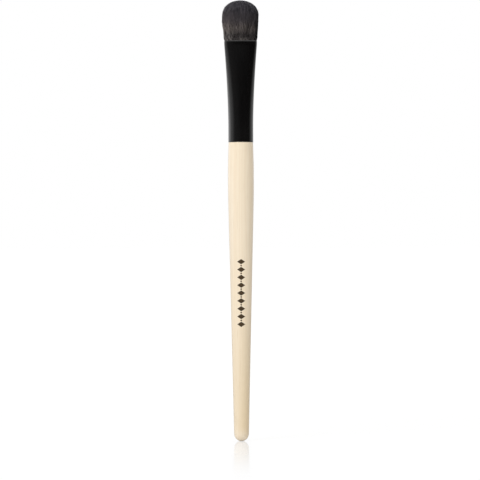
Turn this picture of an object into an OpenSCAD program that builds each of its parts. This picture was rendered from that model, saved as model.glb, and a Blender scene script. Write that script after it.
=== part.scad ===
// Flat eyeshadow brush with a domed tuft: a turned wooden handle, a drawn metal ferrule and fine bristles.
// It is drawn upright on the tip of its tail. X runs across the flat of the tuft and Y through it.

/* [Handle] */
// Height of the shoulder that the ferrule sits on
handle_len = 111.8; // [95:0.1:130]
// Radius of the straight grip, the thickest stretch of the handle
grip_r = 4.84; // [4.7:0.02:6]
// Length of the straight grip
grip_len = 8; // [4:0.5:12]
// Length of the curve from the top of the grip to the shoulder
fall_len = 9.8; // [6:0.1:14]
// Radius of the handle where its tail starts to round off
tail_r = 2.78; // [2.2:0.02:3.6]
// Height of the rounded end of the tail
tail_round = 2.6; // [1.5:0.1:4]
// Radius of the flat left at the very end of the tail
tail_flat_r = 0.3; // [0.1:0.1:1.5]
// How far the ferrule stands proud of the shoulder
shoulder_step = 0.08; // [0:0.01:0.15]
// Rounding of the shoulder's edge
shoulder_edge = 0.1; // [0.05:0.01:0.15]

/* [Tenon] */
// Length of the tenon inside the ferrule
tenon_len = 14; // [10:0.5:16]
// Number of glue grooves round the tenon
groove_count = 3; // [1:1:3]
// Width of a glue groove
groove_w = 0.7; // [0.4:0.05:0.9]
// Depth of a glue groove
groove_depth = 0.35; // [0.15:0.05:0.5]
// Thickness of the film of glue between the tenon and the ferrule
glue_t = 0.12; // [0.06:0.01:0.2]
// Room between the tenon's nose and the flattened ferrule
nose_gap = 0.5; // [0.2:0.05:1]

/* [Ferrule] */
// Length of the ferrule
ferrule_len = 38; // [36:0.2:42]
// Outer radius of the ferrule at its round end
ferrule_r = 4.66; // [4.4:0.02:5]
// Thickness of the ferrule's wall
ferrule_wall = 0.35; // [0.25:0.01:0.45]
// Length of the ferrule that stays round
round_len = 6; // [5:0.1:8]
// Outer width of the mouth
mouth_w = 12.34; // [11.4:0.02:13.4]
// Outer thickness of the mouth
mouth_t = 5.7; // [5:0.05:6.4]
// Rounding of the ferrule's lower edge
hem_round = 0.1; // [0.05:0.01:0.2]
// Length of the straight collar that ends at the mouth
collar_len = 1.1; // [0.5:0.1:3]

/* [Bristles] */
// Length of the bristles that shows above the mouth
bristle_out = 15.2; // [12:0.1:19]
// Width of the tuft at its widest
belly_w = 13.6; // [13:0.02:15]
// Thickness of the tuft across its tips
tip_t = 5; // [4:0.05:5.8]
// How far the tuft spreads past the ferrule's bore just above the mouth
swell_out = 0.4; // [0.2:0.01:0.6]
// Height above the mouth at which the tuft has spread
swell_h = 1.1; // [0.5:0.05:1.5]
// Height of the dome that the tips make, across the flat
dome_h = 6.2; // [5:0.1:9]
// Height of the same dome seen from the side
dome_side_h = 4.2; // [3:0.1:6]
// Number of strands
strand_count = 340; // [300:10:390]
// Length of a strand's pointed end
point_len = 1.6; // [0.8:0.1:3]
// How far the tips scatter in height
tip_scatter = 0.3; // [0:0.05:0.5]

/* [Root] */
// Length of the hollow between the tenon's nose and the resin
hollow_len = 6; // [3:0.1:8]
// Thickness of the slice of resin that the strands are fused to
slice_t = 0.8; // [0.6:0.1:1.2]
// Length of the resin plug below that slice
resin_len = 4; // [2:0.1:5]
// Room round the tied bundle, inside the ferrule
root_room = 0.9; // [0.8:0.05:1]
// Thickness of the binding thread's band
thread_t = 0.3; // [0.15:0.05:0.35]
// Height of the binding thread's band
thread_h = 1.5; // [0.8:0.1:2.5]
// Height of the binding above the slice
thread_up = 0.5; // [0.3:0.1:1]

/* [Hidden] */
$fn = 48;

// Gap between pieces that only lie beside each other
fit_gap = 0.05;
// Sides of the ovals, rings of the flattened part and straight steps of the curves
sides = 48;
flare_rings = 7;
curve_steps = 12;
round_steps = 4;
strand_sides = 3;
// Turn from one strand to the next round the tuft, in degrees
strand_turn = 137.508;
// Half the thickness of a strand, at its root and where its point starts, as a share of the tuft
strand_share = 0.0358;
point_share = 0.027;
// The flattening grows as this power of the height, and the tuft's dome is this superellipse
flare_power = 1.65;
dome_power = 2.4;
// Control points of the handle's long curve and of its fall to the shoulder:
// how far along each curve they lie, and how far from its thin end to its thick end
taper_shares = [[0.6, 0.57], [0.97, 1]];
fall_shares = [[0.3, 0.85], [0.65, 0.35]];

grip_top = handle_len - fall_len;
grip_low = grip_top - grip_len;
shoulder_r = ferrule_r - shoulder_step;
bore_r = ferrule_r - ferrule_wall;
tenon_r = bore_r - glue_t;
tenon_top = handle_len + tenon_len;
round_top = handle_len + round_len;
groove_pitch = round_len / (groove_count + 1);
mouth_z = handle_len + ferrule_len;
flare_top = mouth_z - collar_len;
lip_r = ferrule_wall / 2;
tip_z = mouth_z + bristle_out;
root_z = tenon_top + hollow_len + resin_len;
slice_top = root_z + slice_t;
thread_z = slice_top + thread_up;

// Semi-axes of the ferrule's outside at a height: a circle at the bottom, an oval from the collar on
function flattening(z) = z <= round_top ? 0
    : pow(min(1, (z - round_top) / (flare_top - round_top)), flare_power);
function outer_x(z) = ferrule_r + (mouth_w / 2 - ferrule_r) * flattening(z);
function outer_y(z) = ferrule_r + (mouth_t / 2 - ferrule_r) * flattening(z);
function inner_x(z) = outer_x(z) - ferrule_wall;
function inner_y(z) = outer_y(z) - ferrule_wall;

// Semi-axes of the bundle of bristles from its root to the mouth
root_x = inner_x(root_z) - root_room;
root_y = inner_y(root_z) - root_room;
neck_x = inner_x(mouth_z) - fit_gap;
neck_y = inner_y(mouth_z) - fit_gap;
function rise(z) = (z - slice_top) / (mouth_z - slice_top);
function bundle_x(z) = root_x + (neck_x - root_x) * rise(z);
function bundle_y(z) = root_y + (neck_y - root_y) * rise(z);

// A point of a cubic curve, and the curve's points after its first
function bezier(p, t) = pow(1 - t, 3) * p[0] + 3 * t * pow(1 - t, 2) * p[1]
    + 3 * t * t * (1 - t) * p[2] + pow(t, 3) * p[3];
function curve(p, steps) = [for (k = [1:steps]) bezier(p, k / steps)];
// A quarter of an ellipse from one angle to another
function arc(center, rx, ry, from, to) = [for (k = [0:round_steps])
    let (t = from + (to - from) * k / round_steps) center + [rx * cos(t), ry * sin(t)]];

// One oval ring, the faces between rings that follow each other, and a flat end
function oval(a, b, z) = [for (i = [0:sides - 1]) let (t = 360 * i / sides) [a * cos(t), b * sin(t), z]];
function bands(rings, n, closed = false) = [for (k = [0:rings - (closed ? 1 : 2)]) for (i = [0:n - 1])
    let (low = k * n, high = (k + 1) % rings * n, j = (i + 1) % n)
    each [[low + i, high + i, low + j], [low + j, high + i, high + j]]];
function floor_end(n) = [for (i = [1:n - 2]) [0, i, i + 1]];
function top_end(first, n) = [for (i = [1:n - 2]) [first, first + i + 1, first + i]];

// A solid through stacked ovals, each given as [semi-axis x, semi-axis y, height]
module oval_plug(ovals) {
    count = len(ovals);
    polyhedron([for (o = ovals) each oval(o.x, o.y, o.z)],
        concat(bands(count, sides), floor_end(sides), top_end((count - 1) * sides, sides)));
}

// A tube through ovals that go up its outside and down its inside
module oval_tube(ovals) {
    polyhedron([for (o = ovals) each oval(o.x, o.y, o.z)], bands(len(ovals), sides, closed = true));
}

// Outline of the grooved tenon from the shoulder to the end of the ferrule's round part
function grooves(r) = [for (k = [1:groove_count])
    let (low = handle_len + k * groove_pitch - groove_w / 2, high = low + groove_w)
    each [[r, low], [r - groove_depth, low], [r - groove_depth, high], [r, high]]];

module handle() {
    tail_ellipse = arc([tail_flat_r, tail_round], tail_r - tail_flat_r, tail_round, -90, 0);
    taper = [[tail_r, tail_round],
        for (s = taper_shares)
            [tail_r + (grip_r - tail_r) * s[1], tail_round + (grip_low - tail_round) * s[0]],
        [grip_r, grip_low]];
    fall_end = handle_len - shoulder_edge;
    fall = [[grip_r, grip_top],
        for (s = fall_shares)
            [shoulder_r + (grip_r - shoulder_r) * s[1], grip_top + (fall_end - grip_top) * s[0]],
        [shoulder_r, fall_end]];
    shoulder = arc([shoulder_r - shoulder_edge, fall_end], shoulder_edge, shoulder_edge, 0, 90);
    nose_r = min(tenon_r, inner_y(tenon_top) - nose_gap);
    color("#efd9b9") rotate_extrude()
        polygon(concat([[0, 0]], tail_ellipse, curve(taper, curve_steps), [[grip_r, grip_top]],
            curve(fall, round_steps), shoulder, [[tenon_r, handle_len]], grooves(tenon_r),
            [[tenon_r, round_top], [nose_r, tenon_top], [0, tenon_top]]));
}

module ferrule() {
    hem = arc([ferrule_r - hem_round, handle_len + hem_round], hem_round, hem_round, -90, 0);
    // The flattened part starts a hair inside the round part's wall, so that the two meet face to face
    seam = ferrule_wall / sides;
    levels = [for (k = [0:flare_rings]) round_top + (flare_top - round_top) * k / flare_rings,
        mouth_z - lip_r];
    outside = [for (z = levels) let (in = z == round_top ? seam : 0) [outer_x(z) - in, outer_y(z) - in, z]];
    lip = [for (t = [30:30:150])
        [outer_x(mouth_z) - lip_r + lip_r * cos(t), outer_y(mouth_z) - lip_r + lip_r * cos(t),
            mouth_z - lip_r + lip_r * sin(t)]];
    inside = [for (k = [len(levels) - 1:-1:0]) let (z = levels[k], in = k == 0 ? seam : 0)
        [inner_x(z) + in, inner_y(z) + in, z]];
    color("#141314") {
        rotate_extrude()
            polygon(concat([[bore_r, handle_len]], hem, [[ferrule_r, round_top], [bore_r, round_top]]));
        oval_tube(concat(outside, lip, inside));
    }
}

module ferrule_glue() {
    color("#d8c27a") rotate_extrude()
        polygon(concat([[tenon_r, handle_len]], grooves(tenon_r),
            [[tenon_r, round_top], [bore_r, round_top], [bore_r, handle_len]]));
}

// Resin between two heights, a hair short of the ferrule's wall
function resin_oval(z) = [inner_x(z) - fit_gap, inner_y(z) - fit_gap, z];

module root_resin() {
    color("#8a6a3c")
        oval_plug([for (z = [root_z - resin_len, root_z - resin_len / 2, root_z]) resin_oval(z)]);
}

module binding_thread() {
    // The band clears the outermost strands at its top, where the bundle is wider across the flat
    in_x = max(bundle_x(thread_z), bundle_x(thread_z + thread_h)) + fit_gap;
    in_y = max(bundle_y(thread_z), bundle_y(thread_z + thread_h)) + fit_gap;
    color("#d9d2c4") oval_tube([
        [in_x + thread_t, in_y + thread_t, thread_z],
        [in_x + thread_t, in_y + thread_t, thread_z + thread_h],
        [in_x, in_y, thread_z + thread_h],
        [in_x, in_y, thread_z]]);
}

// Place of a strand in the round pattern that the tuft's ovals stretch, and the height of its tip
seats = [for (i = [0:strand_count - 1]) let (r = (1 - strand_share) * sqrt((i + 0.5) / strand_count))
    r * [cos(i * strand_turn), sin(i * strand_turn)]];
scatter = rands(-tip_scatter, 0, strand_count, 7);
function tip_height(i) = let (
    r = min(1, norm(seats[i])),
    across = pow(seats[i].x / r, 2),
    drop = 1 - pow(1 - pow(r, dome_power), 1 / dome_power))
    tip_z - (dome_h * across + dome_side_h * (1 - across)) * drop + scatter[i] * r;

// The tips' oval is drawn out so that the outermost strands reach the tuft's full width and thickness
reach = 1 - strand_share + point_share;
tip_x = belly_w / 2 / reach;
tip_y = tip_t / 2 / reach;

// One ring of a strand: its corners are stretched with the tuft, so that strands never meet
function strand_ring(seat, half, a, b, z) = [for (k = [0:strand_sides - 1])
    let (t = 360 * k / strand_sides + (seat.x < 0 ? 180 : 0))
    [a * (seat.x + half * cos(t)), b * (seat.y + half * sin(t)), z]];
function strand(i) = let (tip = tip_height(i)) concat(
    strand_ring(seats[i], strand_share, root_x, root_y, slice_top - slice_t / 2),
    strand_ring(seats[i], strand_share, neck_x, neck_y, mouth_z - lip_r),
    strand_ring(seats[i], strand_share, inner_x(mouth_z) + swell_out, inner_y(mouth_z) + swell_out,
        mouth_z + swell_h),
    strand_ring(seats[i], point_share, tip_x, tip_y, tip - point_len),
    [[tip_x * seats[i].x, tip_y * seats[i].y, tip]]);
strand_points = 4 * strand_sides + 1;
strand_faces = concat(floor_end(strand_sides), bands(4, strand_sides),
    [for (k = [0:strand_sides - 1])
        [strand_points - 1 - strand_sides + k, strand_points - 1,
            strand_points - 1 - strand_sides + (k + 1) % strand_sides]]);

module bristle_tuft() {
    color("#37322f") union() {
        oval_plug([for (z = [root_z, slice_top]) resin_oval(z)]);
        polyhedron([for (i = [0:strand_count - 1]) each strand(i)],
            [for (i = [0:strand_count - 1]) for (f = strand_faces) [for (p = f) p + i * strand_points]]);
    }
}

handle();
ferrule();
ferrule_glue();
root_resin();
binding_thread();
bristle_tuft();
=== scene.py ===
# Flat eyeshadow brush standing on its tail: turned pale handle, black ferrule and a domed tuft of fine hairs
import math

import bpy
import numpy as np
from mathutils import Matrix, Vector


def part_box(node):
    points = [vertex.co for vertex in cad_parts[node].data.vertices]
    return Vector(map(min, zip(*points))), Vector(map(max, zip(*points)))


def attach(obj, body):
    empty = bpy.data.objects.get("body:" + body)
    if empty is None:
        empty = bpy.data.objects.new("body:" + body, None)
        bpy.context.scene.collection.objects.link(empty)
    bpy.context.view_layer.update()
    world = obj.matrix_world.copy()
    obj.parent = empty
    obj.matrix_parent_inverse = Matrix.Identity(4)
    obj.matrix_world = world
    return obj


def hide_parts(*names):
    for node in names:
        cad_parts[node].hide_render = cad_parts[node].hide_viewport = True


mm = 0.001
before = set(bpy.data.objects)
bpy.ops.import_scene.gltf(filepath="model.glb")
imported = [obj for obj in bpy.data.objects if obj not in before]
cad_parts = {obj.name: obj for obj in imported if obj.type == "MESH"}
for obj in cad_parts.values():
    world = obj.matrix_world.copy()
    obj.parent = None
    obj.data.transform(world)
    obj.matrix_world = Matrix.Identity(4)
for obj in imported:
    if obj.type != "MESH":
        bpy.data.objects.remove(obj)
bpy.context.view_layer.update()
shoulderZ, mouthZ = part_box("ferrule")[0].z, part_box("ferrule")[1].z
rootZ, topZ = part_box("bristle_tuft")[0].z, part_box("bristle_tuft")[1].z


# Short ways to write node trees
def linear(*levels):  # screen levels 0 to 255 to the linear colour that the shader takes
    parts = [v / 255 for v in levels]
    return tuple(v / 12.92 if v <= 0.04045 else ((v + 0.055) / 1.055) ** 2.4 for v in parts) + (1.0,)


class Wire:  # one output of a node; sums and products of wires add Math nodes
    def __init__(self, board, socket):
        self.board, self.socket = board, socket

    def get(self, name):  # another output of the same node
        return Wire(self.board, self.board.find(self.socket.node.outputs, name))

    def do(self, operation, *values):
        return self.board.add("Math", {"operation": operation}, dict(enumerate((self, *values))))

    def smooth(self, low, high, unit=1.0):  # 0 at low and 1 at high, which may be the lower number
        return self.board.add("MapRange", {"interpolation_type": "SMOOTHSTEP"},
                              {"Value": self, "From Min": low * unit, "From Max": high * unit})

    def __add__(self, other):
        return self.do("ADD", other)

    def __sub__(self, other):
        return self.do("SUBTRACT", other)

    def __mul__(self, other):
        return self.do("MULTIPLY", other)

    def __truediv__(self, other):
        return self.do("DIVIDE", other)

    def __rsub__(self, other):
        return self.board.add("Math", {"operation": "SUBTRACT"}, {0: other, 1: self})

    __radd__ = __add__
    __rmul__ = __mul__


class Board:  # the node tree of one material or of the world
    def __init__(self, owner):
        owner.use_nodes = True
        self.tree = owner.node_tree
        self.tree.nodes.clear()

    def find(self, sockets, name):
        if isinstance(name, int):
            return sockets[name]
        return next(s for s in sockets if s.name == name and s.enabled)

    def add(self, kind, settings=None, inputs=None):
        node = self.tree.nodes.new("ShaderNode" + kind)
        for name, value in (settings or {}).items():
            if name == "stops":
                while len(node.color_ramp.elements) < len(value):
                    node.color_ramp.elements.new(0.5)
                for stop, (at, colour) in zip(node.color_ramp.elements, value):
                    stop.position, stop.color = at, colour
            else:
                setattr(node, name, value)
        for name, value in (inputs or {}).items():
            socket = self.find(node.inputs, name)
            if isinstance(value, Wire):
                self.tree.links.new(value.socket, socket)
            else:
                socket.default_value = value
        shown = [s for s in node.outputs if s.enabled]
        return Wire(self, shown[0]) if shown else None

    def mix(self, factor, a, b):
        return self.add("Mix", {"data_type": "RGBA"}, {"Factor": factor, "A": a, "B": b})

    def place(self, scale=(1, 1, 1), move=(0, 0, 0)):  # the piece's own coordinates, stretched
        here = self.add("TexCoord").get("Object")
        return self.add("Mapping", None, {"Vector": here, "Scale": scale, "Location": move})

    def axes(self, output="Object"):  # x, y and z by themselves
        xyz = self.add("SeparateXYZ", None, {"Vector": self.add("TexCoord").get(output)})
        return xyz.get("X"), xyz.get("Y"), xyz.get("Z")

    def noise(self, scale, detail=2.0, stretch=(1, 1, 1), move=(0, 0, 0), rough=0.5):
        return self.add("TexNoise", None, {"Vector": self.place(stretch, move), "Scale": scale,
                                           "Detail": detail, "Roughness": rough})

    def cells(self, scale, stretch=(1, 1, 1)):  # distance to the nearest of many scattered points
        return self.add("TexVoronoi", {"feature": "F1"}, {"Vector": self.place(stretch), "Scale": scale})

    def bump(self, strength, depth, height):  # depth in mm
        return self.add("Bump", None, {"Strength": strength, "Distance": depth * mm, "Height": height})


def material(name):
    made = bpy.data.materials.new(name)
    return made, Board(made)


# A finished mesh rides on the root and stands for one node of the frame
def piece(name, points, faces, finish, slotName, node, spots=None, edge=35):
    mesh = bpy.data.meshes.new(name)
    mesh.from_pydata([tuple(p) for p in points], [], faces)
    mesh.polygons.foreach_set("use_smooth", [True] * len(mesh.polygons))
    if edge:
        mesh.set_sharp_from_angle(angle=math.radians(edge))
    if spots is not None:
        layer = mesh.uv_layers.new(name="OFBake")
        layer.data.foreach_set("uv", np.asarray(spots, np.float32).ravel())
    mesh.materials.append(finish)
    made = bpy.data.objects.new(name, mesh)
    bpy.context.scene.collection.objects.link(made)
    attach(made, "root")
    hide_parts(node)
    print(name, len(mesh.vertices), "points", len(mesh.polygons), "faces")
    return made


def bezier(points, steps):
    t = np.linspace(0, 1, steps + 1)[:, None]
    a, b, c, d = (np.array(p, float) for p in points)
    return ((1 - t) ** 3 * a + 3 * t * (1 - t) ** 2 * b + 3 * t * t * (1 - t) * c + t ** 3 * d).tolist()


def quarter(center, rx, ry, start, end, steps):
    return [[center[0] + rx * math.cos(math.radians(a)), center[1] + ry * math.sin(math.radians(a))]
            for a in np.linspace(start, end, steps + 1)]


def quadBands(rings, sides, loop=False):
    faces = []
    for k in range(rings if loop else rings - 1):
        low, high = k * sides, (k + 1) % rings * sides
        for i in range(sides):
            j = (i + 1) % sides
            faces.append((low + i, low + j, high + j, high + i))
    return faces


def closedBands(rings, sides):  # the same, with a flat face at both ends
    last = (rings - 1) * sides
    return quadBands(rings, sides) + [tuple(range(sides - 1, -1, -1)), tuple(range(last, last + sides))]


# The wooden handle, in mm, turned about Z with its tail at 0
handle = {
    "gripRadius": 4.84, "gripTop": 102.0, "gripLength": 8.0,
    "tailRadius": 2.78, "tailRound": 2.9, "tailFlat": 0.2,
    "shoulderRadius": 4.58, "shoulderEdge": 0.1,
    "taperCurve": ((0.6, 0.57), (0.97, 1.0)), "fallCurve": ((0.3, 0.85), (0.65, 0.35)),
    "tenonRadius": 4.19, "tenonLength": 14.0, "noseRadius": 3.61,
    "grooves": 3, "grooveWidth": 0.7, "grooveDepth": 0.35, "roundLength": 6.0,
    "segments": 128, "taperSteps": 70, "fallSteps": 18, "tailSteps": 12,
    "wood": (240, 224, 197), "woodWarm": (230, 207, 173), "woodPale": (244, 231, 210),
    "paintedTailShade": (227, 206, 168), "grain": (200, 170, 130),
    # scale, detail, stretch along the stick, roughness and shift of each noise
    "noises": {"broad": (90, 2, 0.12, 0.45, 0), "fibre": (2600, 3, 0.03, 0.6, 0),
               "streak": (700, 2, 0.02, 0.5, 0.3)},
    # where each pattern sets in and is full, its share and its colour
    "layers": (("rings", 0.2, 1.0, 0.22, "woodWarm"), ("streak", 0.5, 0.8, 0.22, "woodWarm"),
               ("fibre", 0.56, 0.8, 0.3, "grain")),
    # painted shade, darker and warmer towards the tail: how far up, how much, and more or less of it from one
    # x to another, least on the left, which leaves a painted highlight there
    "tailReach": 85, "tailTip": 6, "paintedShadeBase": 0.34, "paintedShadeAcross": ((-3.4, 1.4, 0.56), (1.8, 3.4, -0.3)),
    "ringScale": 210, "poreScale": 2400, "poreStretch": 0.045, "roughness": 0.36,
    "ink": (62, 44, 16), "coat": 0.35, "coatRoughness": 0.16, "bump": 0.10, "bumpDepth": 0.05,
    "markLow": 43.7, "markHigh": 67.1, "markCount": 9, "markWidth": 3.0, "markHeight": 2.0, "markDot": 0.3,
    "markSoft": 0.03, "dotSoft": 0.15, "markFront": -0.4,
}


def handleProfile(h):
    top = shoulderZ / mm
    low = h["gripTop"] - h["gripLength"]
    r0, r1, flat, bend = h["tailRadius"], h["gripRadius"], h["tailFlat"], h["tailRound"]
    tail = quarter((flat, bend), r0 - flat, bend, -90, 0, h["tailSteps"])
    taper = [[r0 + (r1 - r0) * b, bend + (low - bend) * a] for a, b in ((0, 0), *h["taperCurve"], (1, 1))]
    end, rs = top - h["shoulderEdge"], h["shoulderRadius"]
    fall = [[rs + (r1 - rs) * b, h["gripTop"] + (end - h["gripTop"]) * a]
            for a, b in ((0, 1), *h["fallCurve"], (1, 0))]
    shoulder = quarter((rs - h["shoulderEdge"], end), h["shoulderEdge"], h["shoulderEdge"], 0, 90, 4)
    rt, pitch = h["tenonRadius"], h["roundLength"] / (h["grooves"] + 1)
    tenon = [[rt, top]]
    for k in range(1, h["grooves"] + 1):
        g = top + k * pitch - h["grooveWidth"] / 2
        tenon += [[rt, g], [rt - h["grooveDepth"], g],
                  [rt - h["grooveDepth"], g + h["grooveWidth"]], [rt, g + h["grooveWidth"]]]
    tenon += [[rt, top + h["roundLength"]], [h["noseRadius"], top + h["tenonLength"]]]
    grip = [[r1, low + (h["gripTop"] - low) * s] for s in (0.25, 0.5, 0.75)]
    stick = bezier(taper, h["taperSteps"])[1:] + grip + bezier(fall, h["fallSteps"])
    return tail + stick + shoulder[1:] + tenon


def turned(profile, segments):
    angle = np.arange(segments) * 2 * math.pi / segments
    points = [(r * math.cos(a) * mm, r * math.sin(a) * mm, z * mm) for r, z in profile for a in angle]
    faces = quadBands(len(profile), segments)
    points += [(0, 0, profile[0][1] * mm), (0, 0, profile[-1][1] * mm)]
    last = (len(profile) - 1) * segments
    for i in range(segments):
        j = (i + 1) % segments
        faces.append((len(points) - 2, j, i))
        faces.append((len(points) - 1, last + i, last + j))
    return points, faces


def handleSpots(profile, segments):  # UVs: the turned skin in four patches, the two ends in thin strips above
    length = np.cumsum([0] + [math.dist(a, b) for a, b in zip(profile, profile[1:])])
    length = length / length[-1] * 3.98  # a quarter of the way fills one patch
    margin, wide, tall = 0.01, 0.485, 0.47
    capWide, capLow, capHigh = 0.45, 0.975, 0.985
    spots = []

    def at(k, turn, patch):
        left, low = margin + 0.5 * (patch % 2), margin + (tall + margin) * (patch // 2)
        return (left + wide * turn, low + tall * (length[k] - patch))

    for k in range(len(profile) - 1):
        q = int((length[k] + length[k + 1]) / 2)
        for i in range(segments):
            a, b = i / segments, (i + 1) / segments
            spots += [at(k, a, q), at(k, b, q), at(k + 1, b, q), at(k + 1, a, q)]
    for i in range(segments):
        a, b = margin + capWide * i / segments, margin + capWide * (i + 1) / segments
        spots += [(0.25, capHigh), (b, capLow), (a, capLow)]
        spots += [(0.75, capHigh), (0.5 + a, capLow), (0.5 + b, capLow)]
    return spots


def woodFinish(h):
    made, board = material("paleWood")
    x, y, z = board.axes()
    grain = {name: board.noise(scale, detail, (1, 1, stretch), (shift, 0, 0), rough)
             for name, (scale, detail, stretch, rough, shift) in h["noises"].items()}
    grain["rings"] = board.add("TexWave", {"wave_type": "BANDS", "bands_direction": "X"},
                               {"Vector": board.place((1, 1, 0.04)), "Scale": h["ringScale"],
                                "Distortion": 9.0, "Detail": 2.0, "Detail Scale": 1.2})
    broad, fibre, streak = grain["broad"], grain["fibre"], grain["streak"]
    colour = board.mix(broad.smooth(0.3, 0.7), linear(*h["wood"]), linear(*h["woodPale"]))
    # painted shade: darker and warmer towards the tail, most right of the middle and least on the left; paler
    # again at the very tip
    paintedShadeShare = h["paintedShadeBase"]
    for start, end, share in h["paintedShadeAcross"]:
        paintedShadeShare = paintedShadeShare + x.smooth(start, end, mm) * share
    colour = board.mix(z.smooth(h["tailReach"], 0, mm) * paintedShadeShare, colour, linear(*h["paintedTailShade"]))
    colour = board.mix(z.smooth(h["tailTip"], 0, mm) * 0.8, colour, linear(*h["woodPale"]))
    for name, start, full, share, tint in h["layers"]:
        colour = board.mix(grain[name].smooth(start, full) * share, colour, linear(*h[tint]))
    pores = board.cells(h["poreScale"], (1, 1, h["poreStretch"])).smooth(0.16, 0.05) * streak.smooth(0.4, 0.6)
    colour = board.mix(pores * 0.35, colour, linear(*h["grain"]))
    # a plain printed border: lozenges and dots in line, on the front alone
    low, high, count = h["markLow"] * mm, h["markHigh"] * mm, h["markCount"]
    pitch = (high - low) / (count - 1)
    along = (z - (low - pitch / 2)) / pitch
    cell = (along.do("FRACT") - 0.5).do("ABSOLUTE") * pitch  # distance from the cell's middle
    aside = x.do("ABSOLUTE")
    lozenge = cell / (h["markHeight"] / 2 * mm) + aside / (h["markWidth"] / 2 * mm)
    lozenge = lozenge.smooth(1 + h["markSoft"], 1 - h["markSoft"])
    gap, out = (pitch / 2 - cell) / (h["markDot"] * mm), aside / (h["markDot"] * mm)
    dot = (gap * gap + out * out).smooth(1 + h["dotSoft"], 1 - h["dotSoft"])
    first, last, edge = low - pitch * 0.4, high + pitch * 0.4, 0.02 * mm
    inside = z.smooth(first, first + edge) * z.smooth(last, last - edge) * y.smooth(0.0, h["markFront"] * mm)
    ink = lozenge.do("MAXIMUM", dot) * inside
    colour = board.mix(ink, colour, linear(*h["ink"]))
    height = fibre * 0.5 + pores * -0.6 + broad * 0.4 + ink * 0.15
    shader = board.add("BsdfPrincipled", None, {
        "Base Color": colour, "Roughness": h["roughness"] + fibre * 0.08 + ink * 0.1,
        "Normal": board.bump(h["bump"], h["bumpDepth"], height), "Coat Weight": h["coat"],
        "Coat Roughness": h["coatRoughness"], "IOR": 1.45})
    board.add("OutputMaterial", None, {"Surface": shader})
    return made


profile = handleProfile(handle)
handlePoints, handleFaces = turned(profile, handle["segments"])
piece("handleWood", handlePoints, handleFaces, woodFinish(handle), "pale_wood", "handle",
      handleSpots(profile, handle["segments"]))


# The black ferrule: a round tube flared into a flat oval mouth
ferrule = {
    "radius": 4.66, "wall": 0.35, "roundLength": 6.0, "mouthWidth": 12.34, "mouthThickness": 5.7,
    "hem": 0.05, "lipHeight": 0.38, "lipIn": 0.26, "flarePower": 1.65, "collar": 1.1, "squareness": 0.3,
    "rings": 44, "sides": 120, "hemSteps": 5, "lipSteps": 9, "hemBand": 0.02, "lipBand": 0.04,
    "lacquer": (6, 5, 5), "dust": (34, 32, 31), "roughness": 0.1, "bump": 0.05, "bumpDepth": 0.03,
    "cloudScale": 260, "drawnScale": 1500, "speckScale": 900,
}


def flattening(z):  # none along the round part, full from the straight collar on
    start, end = shoulderZ / mm + ferrule["roundLength"], mouthZ / mm - ferrule["collar"]
    return min(1.0, max(0.0, (z - start) / (end - start))) ** ferrule["flarePower"]


def ferruleAxes(z, inset=0.0):
    f = flattening(z)
    r, wide, thick = ferrule["radius"], ferrule["mouthWidth"] / 2, ferrule["mouthThickness"] / 2
    return r + (wide - r) * f - inset, r + (thick - r) * f - inset


def squaredOval(a, b, z, sides, power=2.0):  # an oval whose flats grow a little with the power
    ring = []
    for i in range(sides):
        t = 2 * math.pi * i / sides
        c, s = math.cos(t), math.sin(t)
        grow = (abs(c) ** power + abs(s) ** power) ** (-1 / power)
        ring.append((a * c * grow * mm, b * s * grow * mm, z * mm))
    return ring


def ferruleRings(f):
    low, high = shoulderZ / mm, mouthZ / mm
    levels = []  # height, inset from the outside
    for a in np.radians(np.linspace(0, 90, f["hemSteps"])):
        levels.append((low + f["hem"] * (1 - math.cos(a)), f["hem"] * (1 - math.sin(a))))
    top = high - f["lipHeight"]
    # narrow bands beside the hem and the lip keep the shading of the long side straight
    levels += [(z, 0.0) for z in np.linspace(low + f["hem"] + f["hemBand"], top - f["lipBand"], f["rings"])]
    for a in np.radians(np.linspace(0, 90, f["lipSteps"])):
        levels.append((top + f["lipHeight"] * math.sin(a), f["lipIn"] * (1 - math.cos(a))))
    edge = f["wall"] - f["lipIn"]
    for a in np.radians(np.linspace(90, 0, f["hemSteps"])[1:]):
        levels.append((high - edge * (1 - math.sin(a)), f["wall"] - edge * math.cos(a) if a else f["wall"]))
    for k in range(f["rings"], -1, -1):
        levels.append((low + (high - edge * 1.5 - low) * k / f["rings"], f["wall"]))
    rings = []
    for z, inset in levels:
        a, b = ferruleAxes(z, inset)
        rings += squaredOval(a, b, z, f["sides"], 2 + f["squareness"] * flattening(z))
    return rings, levels


def lacquerFinish(f):
    made, board = material("blackLacquer")
    cloud = board.noise(f["cloudScale"], 3)
    drawn = board.noise(f["drawnScale"], 2, (1, 1, 0.03))  # faint lines along the tube from drawing
    dust = board.cells(f["speckScale"]).smooth(0.07, 0.02) * cloud.smooth(0.5, 0.7)
    colour = board.mix(dust * 0.5, linear(*f["lacquer"]), linear(*f["dust"]))
    rough = f["roughness"] + cloud * 0.06 + drawn.smooth(0.45, 0.8) * 0.05 + dust * 0.3
    bump = board.bump(f["bump"], f["bumpDepth"], drawn * 0.6 + cloud * 0.6 + dust * 0.5)
    shader = board.add("BsdfPrincipled", None, {
        "Base Color": colour, "Roughness": rough, "Normal": bump, "IOR": 1.5})
    board.add("OutputMaterial", None, {"Surface": shader})
    return made


def ferruleSpots(f, levels):  # UVs: round the wall's section in u, round the tube in v
    margin, wide = 0.01, 0.98
    far = np.cumsum([0] + [math.dist(a, b) for a, b in zip(levels, levels[1:] + levels[:1])])
    far = margin + far / far[-1] * wide
    spots = []
    for k in range(len(levels)):
        for i in range(f["sides"]):
            a, b = margin + wide * i / f["sides"], margin + wide * (i + 1) / f["sides"]
            spots += [(far[k], a), (far[k], b), (far[k + 1], b), (far[k + 1], a)]
    return spots


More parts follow.
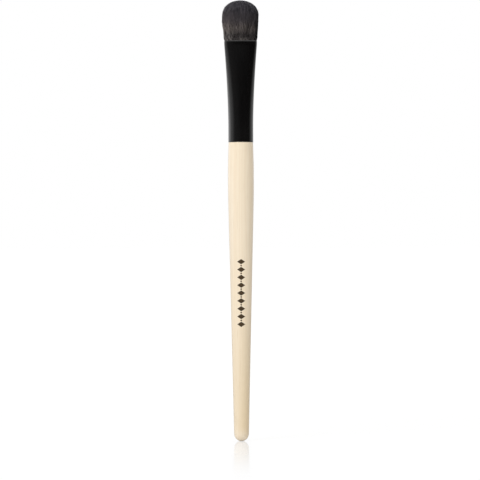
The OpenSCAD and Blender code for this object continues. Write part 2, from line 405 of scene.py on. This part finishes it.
ferrulePoints, ferruleLevels = ferruleRings(ferrule)
ferruleFaces = quadBands(len(ferruleLevels), ferrule["sides"], loop=True)
piece("ferruleShell", ferrulePoints, ferruleFaces, lacquerFinish(ferrule), "black_metal", "ferrule",
      ferruleSpots(ferrule, ferruleLevels), edge=50)


# The tuft: single hairs in locks and wisps, cut to a dome
tuft = {
    "outerHairs": 5000, "innerHairs": 4200, "outerFrom": 0.74,
    "seatJitter": 0.5, "seatEdge": 0.995, "seatReach": 0.998,
    "hairRadius": 0.055, "radiusSpread": 0.15, "rootThin": 0.8, "pointThin": 0.62,
    "locks": 150, "lockPull": 0.5, "lockFade": 3.0, "lockLean": 0.12, "lockContrast": 0.2,
    "wisps": 620, "wispPull": 0.55, "wispLean": 0.15, "wispContrast": 0.28,
    "bunchJitter": 0.8, "wave": 0.05, "waveTurns": (1.1, 0.9), "stray": 0.012, "strayReach": 0.35,
    "domeAcross": 6.0, "domeThrough": 4.2, "domePower": 2.4, "domeLean": (0.16, 0.28), "scatter": 0.28,
    "pointLength": 1.5, "pointBend": 0.35, "bellyShift": 0.17,
    "sliceThickness": 0.8, "rootHalf": (4.01, 2.65),
    # height above the mouth, half width and half thickness of the bundle, in mm
    "outline": ((-0.25, 5.75, 2.43), (0.12, 6.2, 2.76), (0.8, 6.28, 2.86), (1.9, 6.3, 2.94),
                (3.4, 6.38, 2.98), (4.9, 6.60, 2.94), (6.4, 6.75, 2.86), (7.9, 6.83, 2.76),
                (9.4, 6.86, 2.66), (12.0, 6.86, 2.52), (15.2, 6.7, 2.32)),
    # middle and spread of what swells and dies away with height: the wisps' gathering and the belly
    "wispBand": (3.5, 2.4), "bellyBand": (7.2, 2.2),
    # heights at which the hairs begin to come free, gather, lean, wave less and stray, and do so in full
    "freeRise": (0, 1.2), "lockRise": (-0.4, 0.4), "lockFlow": (0, 8.5), "wispSway": (0, 6.6),
    "waveFade": (5, 13), "strayRise": (2, 14),
    # tone: painted light that falls off to the right, painted shade along the right edge and a painted
    # highlight along the left, and uneven from hair to hair
    "paintedSideLight": 0.24, "paintedRightShade": 0.36, "paintedLeftHighlight": 0.26,
    "hairContrast": 0.09, "tipContrast": 0.16, "crownContrast": 0.24,
    # side and height from which each change of tone sets in, and where it is full
    "rightEdge": (0.8, 0.9), "rightFade": (14.25, 6.75), "leftEdge": (-0.72, -0.92), "leftFade": (6, 2),
    "patchEdge": (0.92, 0.8), "patchFade": (7.2, 4.8), "wispRise": (-0.8, 1.2), "crownRise": (8.5, 11),
    # share of the showing height, then the dark, middle and light hair there; by height they hold painted
    # shade a little above the mouth and painted light over the bulge
    "tones": ((0.035, (34, 31, 31), (72, 67, 65), (118, 112, 108)),
              (0.11, (22, 20, 21), (56, 51, 50), (108, 103, 99)),
              (0.29, (32, 29, 28), (84, 77, 74), (126, 118, 112)),
              (0.54, (30, 28, 30), (61, 57, 59), (95, 87, 88)),
              (0.86, (25, 24, 28), (57, 55, 60), (90, 87, 91))),
    "roughness": 0.5, "shine": 0.25,
}
rng = np.random.default_rng(17)
showing = (topZ - mouthZ) / mm
rootLevel = (rootZ - mouthZ) / mm + tuft["sliceThickness"] / 2


def sunflower(count, jitter):  # seats spread evenly over a disc of radius 1
    i = np.arange(count)
    r = np.sqrt((i + 0.5) / count)
    t = i * math.radians(137.508)  # the golden angle
    seats = np.stack([r * np.cos(t), r * np.sin(t)], 1)
    seats += rng.normal(0, jitter / math.sqrt(count), seats.shape)
    far = np.linalg.norm(seats, axis=1, keepdims=True)
    return seats / np.maximum(1, far / tuft["seatEdge"])


def tuftSeats(t):  # outer hairs are bent in more places than the inner ones, which hardly show
    share = 1 - t["outerFrom"] ** 2
    outer = sunflower(int(t["outerHairs"] / share), t["seatJitter"])
    outer = outer[np.linalg.norm(outer, axis=1) >= t["outerFrom"]]
    inner = sunflower(int(t["innerHairs"] / t["outerFrom"] ** 2), t["seatJitter"])
    inner = inner[np.linalg.norm(inner, axis=1) < t["outerFrom"]]
    return outer, inner


def bunches(count):  # hairs that stick together: where they gather, how they lean, and their tone
    return {"seats": sunflower(count, tuft["bunchJitter"]) * (-1, 1), "lean": rng.normal(0, 1, (count, 2)),
            "tone": rng.uniform(-1, 1, count), "phase": rng.uniform(0, 2 * math.pi, count)}


locks, wisps = bunches(tuft["locks"]), bunches(tuft["wisps"])


def ownBunch(seats, group):  # for each hair, the values of the bunch that is nearest to it
    nearest = np.argmin(((seats[:, None] - group["seats"][None]) ** 2).sum(2), axis=1)
    return {name: values[nearest] for name, values in group.items()}


def rise(values, start, full, least=0.0, most=1.0):  # 0 at the start, 1 where it is full, even in between
    return np.clip((values - start) / (full - start), least, most)


def swell(values, middle, spread):
    return np.exp(-((values - middle) / spread) ** 2)


def hairHeights(t, seats, bends, scatter):  # heights above the mouth at each bend, the point last
    far = np.maximum(1e-6, np.linalg.norm(seats, axis=1))
    rho = np.minimum(0.9999, far)
    drop = 1 - (1 - rho ** t["domePower"]) ** (1 / t["domePower"])
    across = (seats[:, 0] / far) ** 2
    tip = showing - (t["domeAcross"] * across + t["domeThrough"] * (1 - across)) * drop
    fallLeft, fallRight = t["domeLean"]
    tip -= scatter * rho + fallRight * np.maximum(0, seats[:, 0])
    tip -= fallLeft * np.maximum(0, -seats[:, 0])
    start = t["outline"][1][0]
    free = tip - t["pointLength"] - start
    hidden = {"root": rootLevel, "rim": t["outline"][0][0]}
    heights = [np.full(len(tip), hidden[bend]) if bend in hidden else start + free * bend for bend in bends]
    return heights + [tip - t["pointLength"] * t["pointBend"], tip]


def hairCenters(t, seats, heights, lock, wisp, phase, stray):  # where each bend stands, and how far aside
    table = np.array(((rootLevel, *t["rootHalf"]), *t["outline"]))
    centers, sides = [], []
    for h in heights:
        free = rise(h, *t["freeRise"])
        pull = t["lockPull"] * np.exp(-np.maximum(h, 0) / t["lockFade"]) * rise(h, *t["lockRise"])
        gather = t["wispPull"] * swell(h, *t["wispBand"])
        seat = seats + pull[:, None] * (lock["seats"] - seats) + gather[:, None] * (wisp["seats"] - seats)
        # leaning locks and wisps straighten towards the tips
        flow = t["lockLean"] * np.sin(rise(h, *t["lockFlow"]) ** 0.7 * math.pi) * free
        sway = t["wispLean"] * np.sin(rise(h, *t["wispSway"]) * math.pi) * free
        seat = seat + lock["lean"] * flow[:, None] + wisp["lean"] * sway[:, None]
        seat = seat / np.maximum(1, np.linalg.norm(seat, axis=1, keepdims=True) / t["seatReach"])
        half = np.stack([np.interp(h, table[:, 0], table[:, k]) for k in (1, 2)], 1)
        wave = t["wave"] * free * (1 - rise(h, *t["waveFade"], most=0.8))
        middle = seat * half + wave[:, None] * np.sin(phase.T + h[:, None] * t["waveTurns"])
        middle[:, 0] -= t["bellyShift"] * swell(h, *t["bellyBand"])  # the belly hangs a little to the left
        middle += stray * rise(h, *t["strayRise"])[:, None] ** 2
        centers.append(np.column_stack([middle, h]))
        sides.append(seat[:, 0])
    return centers, sides


def hairSkin(t, centers, radius, turn):  # three-sided hairs, and the faces of the first one
    rings = len(centers) - 1
    thin = [t["rootThin"]] + [1.0] * (rings - 2) + [t["pointThin"]]
    skin = []
    for center, share in zip(centers, thin):
        for s in range(3):
            a = turn + s * 2 * math.pi / 3
            skin.append(center + np.stack([radius * share * np.cos(a), radius * share * np.sin(a), 0 * a], 1))
    quads = [(k * 3 + s, k * 3 + (s + 1) % 3, k * 3 + 3 + (s + 1) % 3, k * 3 + 3 + s)
             for k in range(rings - 1) for s in range(3)]
    ends = [(rings * 3 - 3 + s, rings * 3 - 3 + (s + 1) % 3, rings * 3) for s in range(3)]
    return np.stack(skin + [centers[-1]], 1), quads + ends


def hairTones(t, heights, sides, lock, wisp, own, tipOwn):
    # painted light and shade: lighter towards the left, painted shade darkest along the right edge, a painted
    # highlight on the left edge, uneven from lock to lock in the lower half
    tones = []
    for h, side in zip(heights, sides):
        # painted shade on the right edge, painted highlight on the left edge
        dark = t["paintedRightShade"] * rise(side, *t["rightEdge"]) * rise(h, *t["rightFade"], least=0.25)
        pale = t["paintedLeftHighlight"] * rise(side, *t["leftEdge"]) * rise(h, *t["leftFade"])
        patch = rise(h, *t["patchFade"], least=0.05) * rise(side, *t["patchEdge"], least=0.2)
        uneven = t["lockContrast"] * (0.5 * lock["tone"] + 0.7 * np.sin(h * 1.1 + lock["phase"]))
        uneven += t["wispContrast"] * wisp["tone"] * rise(h, *t["wispRise"])
        crown = t["crownContrast"] * wisp["tone"] * rise(h, *t["crownRise"])
        base = 0.5 - t["paintedSideLight"] * side - dark + pale
        tones.append(base + uneven * patch + crown + own * (0.5 + 0.5 * patch))
    tones[-2:] = [tone + tipOwn for tone in tones[-2:]]
    corners = 3 * len(tones) - 2  # three at each bend, one at the point
    return np.clip(np.repeat(np.stack(tones, 1), 3, axis=1)[:, :corners], 0.02, 0.98)


def hairSpots(faces, tone, high):  # UVs: tone in u and height above the mouth in v, in a narrow strip each
    v = np.clip(high / showing, 0, 1) * 0.96 + 0.02
    strip = {4: (-0.003, 0.003, 0.003, -0.003), 3: (-0.003, 0.003, 0.0)}
    spots = [(tone[:, p] + strip[len(f)][c], v[:, p]) for f in faces for c, p in enumerate(f)]
    return np.array(spots).transpose(2, 0, 1).reshape(-1, 2)  # one row of corners for each hair


def hairs(name, seats, bends, seed):
    t, r, count = tuft, np.random.default_rng(seed), len(seats)
    lock, wisp = ownBunch(seats, locks), ownBunch(seats, wisps)
    heights = hairHeights(t, seats, bends, r.uniform(0, t["scatter"], count))
    phase, turn = r.uniform(0, 2 * math.pi, (2, count)), r.uniform(0, 2 * math.pi, count)
    stray = (r.random(count) < t["stray"])[:, None] * r.normal(0, t["strayReach"], (count, 2))
    centers, sides = hairCenters(t, seats, heights, lock, wisp, phase, stray)
    radius = t["hairRadius"] * r.uniform(1 - t["radiusSpread"], 1 + t["radiusSpread"], count)
    points, oneHair = hairSkin(t, centers, radius, turn)
    own, tipOwn = r.normal(0, t["hairContrast"], count), r.normal(0, t["tipContrast"], count)
    tone = hairTones(t, heights, sides, lock, wisp, own, tipOwn)
    spots = hairSpots(oneHair, tone, points[:, :, 2])
    perHair = points.shape[1]
    faces = [tuple(v + i * perHair for v in f) for i in range(count) for f in oneHair]
    points[:, :, 2] += mouthZ / mm
    points = (points * mm).reshape(-1, 3)
    made = piece(name, points, faces, hairFinish, "bristle", "bristle_tuft", spots, edge=0)
    mark = made.data.attributes.new("hairTone", "FLOAT", "POINT")
    mark.data.foreach_set("value", tone.ravel().astype(np.float32))


def hairMaterial(t):
    made, board = material("bristleHair")
    tone = board.add("Attribute", {"attribute_name": "hairTone"}).get("Fac")
    up = (board.axes()[2] - mouthZ) / (topZ - mouthZ)
    colour, below = None, 0
    # bands of tone by height, with painted shade a little above the mouth and painted light over the bulge
    for share, dark, middle, light in t["tones"]:
        stops = [(0, linear(*dark)), (0.5, linear(*middle)), (1, linear(*light))]
        ramp = board.add("ValToRGB", {"stops": stops}, {0: tone})
        colour = board.mix(up.smooth(below, share), colour, ramp) if colour else ramp
        below = share
    shader = board.add("BsdfPrincipled", None, {
        "Base Color": colour, "Roughness": t["roughness"], "Specular IOR Level": t["shine"], "IOR": 1.5})
    board.add("OutputMaterial", None, {"Surface": shader})
    return made


hairFinish = hairMaterial(tuft)
outerSeats, innerSeats = tuftSeats(tuft)
bends = ("root", "rim", 0.0, 0.1, 0.22, 0.36, 0.54, 0.78, 1.0)  # the numbers are shares of the free length
hairs("tuftFront", outerSeats[outerSeats[:, 1] < 0], bends, 3)
hairs("tuftBack", outerSeats[outerSeats[:, 1] >= 0], bends, 5)
hairs("tuftInner", innerSeats, ("root", 0.0, 0.5, 1.0), 4)


# Resin, glue and thread inside the ferrule
inner = {
    "resin": (140, 106, 62), "resinDeep": (96, 66, 34), "resinRoughness": 0.22,
    "glue": (216, 194, 122), "glueDeep": (186, 158, 92), "glueRoughness": 0.3,
    "cloudScale": 420, "bubbleScale": 1300, "resinBump": 0.3, "resinBumpDepth": 0.05,
    # depth below the slice's top and gap to the ferrule's wall, from the edge to the flat middle
    "sliceSides": 96, "meniscus": ((0, 0.05), (0.05, 0.25), (0.12, 0.55), (0.1, 1.1)),
    "thread": (217, 208, 192), "threadShade": (168, 156, 138), "threadRoughness": 0.82, "threadSheen": 0.3,
    "twistScale": 2200, "fuzzScale": 5200, "threadBump": 0.5, "threadBumpDepth": 0.03,
    "threadRadius": 0.14, "turns": 5, "threadFill": 0.99, "threadSides": 8, "stepsPerTurn": 72,
}


def resinFinish(name, pale, deep, roughness, t):
    made, board = material(name)
    cloud = board.noise(t["cloudScale"], 3)
    bubble = board.cells(t["bubbleScale"]).smooth(0.16, 0.1)
    colour = board.mix(cloud.smooth(0.35, 0.7), linear(*deep), linear(*pale))
    colour = board.mix(bubble * 0.25, colour, linear(*pale))
    bump = board.bump(t["resinBump"], t["resinBumpDepth"], cloud + bubble * 0.4)
    shader = board.add("BsdfPrincipled", None, {
        "Base Color": colour, "Roughness": roughness + cloud * 0.12, "Normal": bump, "IOR": 1.52})
    board.add("OutputMaterial", None, {"Surface": shader})
    return made


def threadFinish(t):
    made, board = material("bindingThread")
    twist = board.add("TexWave", {"wave_type": "BANDS", "bands_direction": "DIAGONAL"},
                      {"Vector": board.place((1, 1, 2.2)), "Scale": t["twistScale"], "Distortion": 1.0})
    fuzz = board.noise(t["fuzzScale"], 2)
    pale = twist.smooth(0.1, 0.8) * 0.8 + fuzz * 0.2
    colour = board.mix(pale, linear(*t["threadShade"]), linear(*t["thread"]))
    bump = board.bump(t["threadBump"], t["threadBumpDepth"], twist + fuzz * 0.4)
    shader = board.add("BsdfPrincipled", None, {
        "Base Color": colour, "Roughness": t["threadRoughness"] + fuzz * 0.1, "Normal": bump,
        "Sheen Weight": t["threadSheen"]})
    board.add("OutputMaterial", None, {"Surface": shader})
    return made


def rootSlice(t):  # the top slice of the resin, with a low meniscus where the hairs stand in it
    low, high, sides = rootZ / mm, rootZ / mm + tuft["sliceThickness"], t["sliceSides"]
    gap = t["meniscus"][0][1]
    levels = [(low, gap), ((low + high) / 2, gap)] + [(high - depth, inset) for depth, inset in t["meniscus"]]
    rings = []
    for z, inset in levels:
        rings += squaredOval(*ferruleAxes(z, ferrule["wall"] + inset), z, sides)
    return rings, closedBands(len(levels), sides)


def threadTurns(t):  # one thread wound upwards inside the band's outline
    low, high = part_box("binding_thread")
    cord, steps = t["threadRadius"], t["turns"] * t["stepsPerTurn"]
    rx, ry = high.x / mm - cord, high.y / mm - cord
    climb = (high.z - low.z) / mm * t["threadFill"] - 2 * cord
    points = []
    for k in range(steps + 1):
        a = 2 * math.pi * k / t["stepsPerTurn"]
        z = low.z / mm + cord + climb * k / steps
        fx, fy = math.cos(a) / rx, math.sin(a) / ry  # outward across the thread's path
        size = math.hypot(fx, fy)
        for s in range(t["threadSides"]):
            b = 2 * math.pi * s / t["threadSides"]
            out = cord * math.cos(b) / size
            points.append(((rx * math.cos(a) + out * fx) * mm, (ry * math.sin(a) + out * fy) * mm,
                           (z + cord * math.sin(b)) * mm))
    return points, closedBands(steps + 1, t["threadSides"])


resinLook = resinFinish("setResin", inner["resin"], inner["resinDeep"], inner["resinRoughness"], inner)
glueLook = resinFinish("setGlue", inner["glue"], inner["glueDeep"], inner["glueRoughness"], inner)
for nodeName, look in (("root_resin", resinLook), ("ferrule_glue", glueLook)):
    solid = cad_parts[nodeName]
    solid.data.materials.clear()
    solid.data.materials.append(look)
piece("rootSlice", *rootSlice(inner), resinLook, "resin", "bristle_tuft")
piece("threadWinding", *threadTurns(inner), threadFinish(inner), "thread", "binding_thread")


# White studio: floor, world, key light and camera
studio = {
    "keyStrength": 0.468, "keySize": 0.9, "keyPlace": (-0.7, -1.2, 1.3), "keyAim": (0, 0, 0.085),
    "keyColour": (0.96, 0.985, 1.08), "fillSky": 0.55, "fillColour": (1.0, 0.975, 0.91, 1),
    # a pale room with one dark side: its levels, where it fades, and its turn from the viewer
    "panels": 0.85, "frontDim": 0.036, "panelFade": (-0.25, 0.42), "panelTop": (0.45, 0.25), "turn": 13,
    # light added to it: how much, and the direction in which it sets in and is full
    "glows": ((0.12, {"X": (0.1, -0.8)}), (1.8, {"Z": (0.35, 0.9)}), (0.05, {"Z": (0.15, 0.25)}),
              (0.7, {"X": (-0.4, -0.8), "Y": (0.15, 0.5)})),
    # the floor in metres, and the polished strip on it in mm
    "floorRadius": 30, "floorWhite": 1.035, "floorPale": 0.94, "floorInGloss": 0.5, "floorShade": 0.12,
    "shadeReach": (0.5, 0.2), "stripSide": (4.6, 3), "stripFront": (4, 1), "stripReach": (300, 240),
    "stripDim": 0.036, "mirror": 0.5, "mirrorReach": 245,
    "lens": 300, "distance": 1497.1, "cameraX": -0.395, "cameraZ": 75.2, "roll": 0.143,
}


def floorFinish(s):
    made, board = material("whiteFloor")
    x, y = board.axes()[:2]
    far = (x * x + y * y).do("SQRT")
    # a polished strip in front of the tail holds a faint mirror image
    strip = x.do("ABSOLUTE").smooth(*s["stripSide"], mm) * y.smooth(*s["stripFront"], mm)
    strip = strip * board.add("Fresnel", None, {"IOR": 1.5})
    mirror = strip * far.smooth(s["mirrorReach"], 0, mm) * s["mirror"]
    path = board.add("LightPath")
    seen = path.get("Is Camera Ray")
    pale, dim = s["floorPale"], s["floorInGloss"]  # greyer in reflections, as under a dark card
    shade = board.mix(path.get("Is Glossy Ray"), (pale, pale, pale, 1), (dim, dim, dim, 1))
    plain = board.add("BsdfDiffuse", None, {"Color": shade})
    # white to the camera, less the shadow; a little over 1 makes up for the share that is shaded
    white = s["floorWhite"] - strip * far.smooth(*s["stripReach"], mm) * s["stripDim"]
    white = (white - mirror) / (1 - mirror)
    lift = board.add("Emission", None, {"Color": (1, 1, 1, 1), "Strength": white})
    keep = s["floorShade"] * far.smooth(*s["shadeReach"])
    base = board.add("MixShader", None, {0: seen * (1 - keep), 1: plain, 2: lift})
    shine = board.add("BsdfGlossy", None, {"Color": (1, 1, 1, 1), "Roughness": 0.0})
    mixed = board.add("MixShader", None, {0: seen * mirror, 1: base, 2: shine})
    board.add("OutputMaterial", None, {"Surface": mixed})
    return made


def studioFloor(s):
    mesh = bpy.data.meshes.new("floor")
    reach, corners = s["floorRadius"], 64
    ring = [(reach * math.cos(a), reach * math.sin(a), 0) for a in np.arange(corners) * 2 * math.pi / corners]
    mesh.from_pydata(ring, [], [tuple(range(corners))])
    mesh.materials.append(floorFinish(s))
    made = bpy.data.objects.new("floor", mesh)
    bpy.context.scene.collection.objects.link(made)


def studioWorld(s):
    world = bpy.data.worlds.new("studio")
    bpy.context.scene.world = world
    board = Board(world)
    facing = dict(zip("XYZ", board.axes("Generated")))
    turn = math.radians(s["turn"])  # the dark side faces the viewer, a little to the right
    ahead = facing["X"] * math.sin(turn) - facing["Y"] * math.cos(turn)
    lit = 1 - ahead.smooth(*s["panelFade"]) * facing["Z"].smooth(*s["panelTop"])
    panels = s["frontDim"] + lit * (s["panels"] - s["frontDim"])
    for glow, bands in s["glows"]:
        for axis, (start, full) in bands.items():
            glow = facing[axis].smooth(start, full) * glow
        panels = panels + glow
    path = board.add("LightPath")
    seen, shiny = path.get("Is Camera Ray"), path.get("Is Glossy Ray")
    # only the sharp mirror strip of the floor sends singular rays, and it sees one pale wall all around
    sharp = path.get("Is Singular Ray") * shiny
    panels = panels * (1 - sharp) + sharp
    level = seen + (1 - seen) * (shiny * panels + (1 - shiny) * s["fillSky"])
    colour = board.mix((seen + shiny).do("MINIMUM", 1), s["fillColour"], (1, 1, 1, 1))
    back = board.add("Background", None, {"Color": colour, "Strength": level})
    board.add("OutputWorld", None, {"Surface": back})


def studioKey(s):
    data = bpy.data.lights.new("key", "AREA")
    data.shape, data.size = "DISK", s["keySize"]
    place, target = np.array(s["keyPlace"]), np.array(s["keyAim"])
    reach = float(np.linalg.norm(place - target))
    # at this energy a facing surface shows about its colour
    data.energy = s["keyStrength"] * 4 * reach * reach * math.pi
    data.color = s["keyColour"]
    made = bpy.data.objects.new("key", data)
    made.location = place
    made.visible_glossy = False  # the bright panels of the world stand for it in reflections
    bpy.context.scene.collection.objects.link(made)
    aim = bpy.data.objects.new("keyAim", None)
    aim.location = target
    bpy.context.scene.collection.objects.link(aim)
    track = made.constraints.new("TRACK_TO")
    track.target, track.track_axis, track.up_axis = aim, "TRACK_NEGATIVE_Z", "UP_Y"


def studioCamera(s):
    data = bpy.data.cameras.new("camera")
    data.lens, data.sensor_width = s["lens"], 36
    data.clip_start, data.clip_end = 0.01, 100
    made = bpy.data.objects.new("camera", data)
    made.location = (s["cameraX"] * mm, -s["distance"] * mm, s["cameraZ"] * mm)
    made.rotation_euler = (math.radians(90), math.radians(s["roll"]), 0)
    bpy.context.scene.collection.objects.link(made)
    bpy.context.scene.camera = made


studioFloor(studio)
studioWorld(studio)
studioKey(studio)
studioCamera(studio)
bpy.context.scene.view_settings.view_transform = "Standard"
print("studio ready")
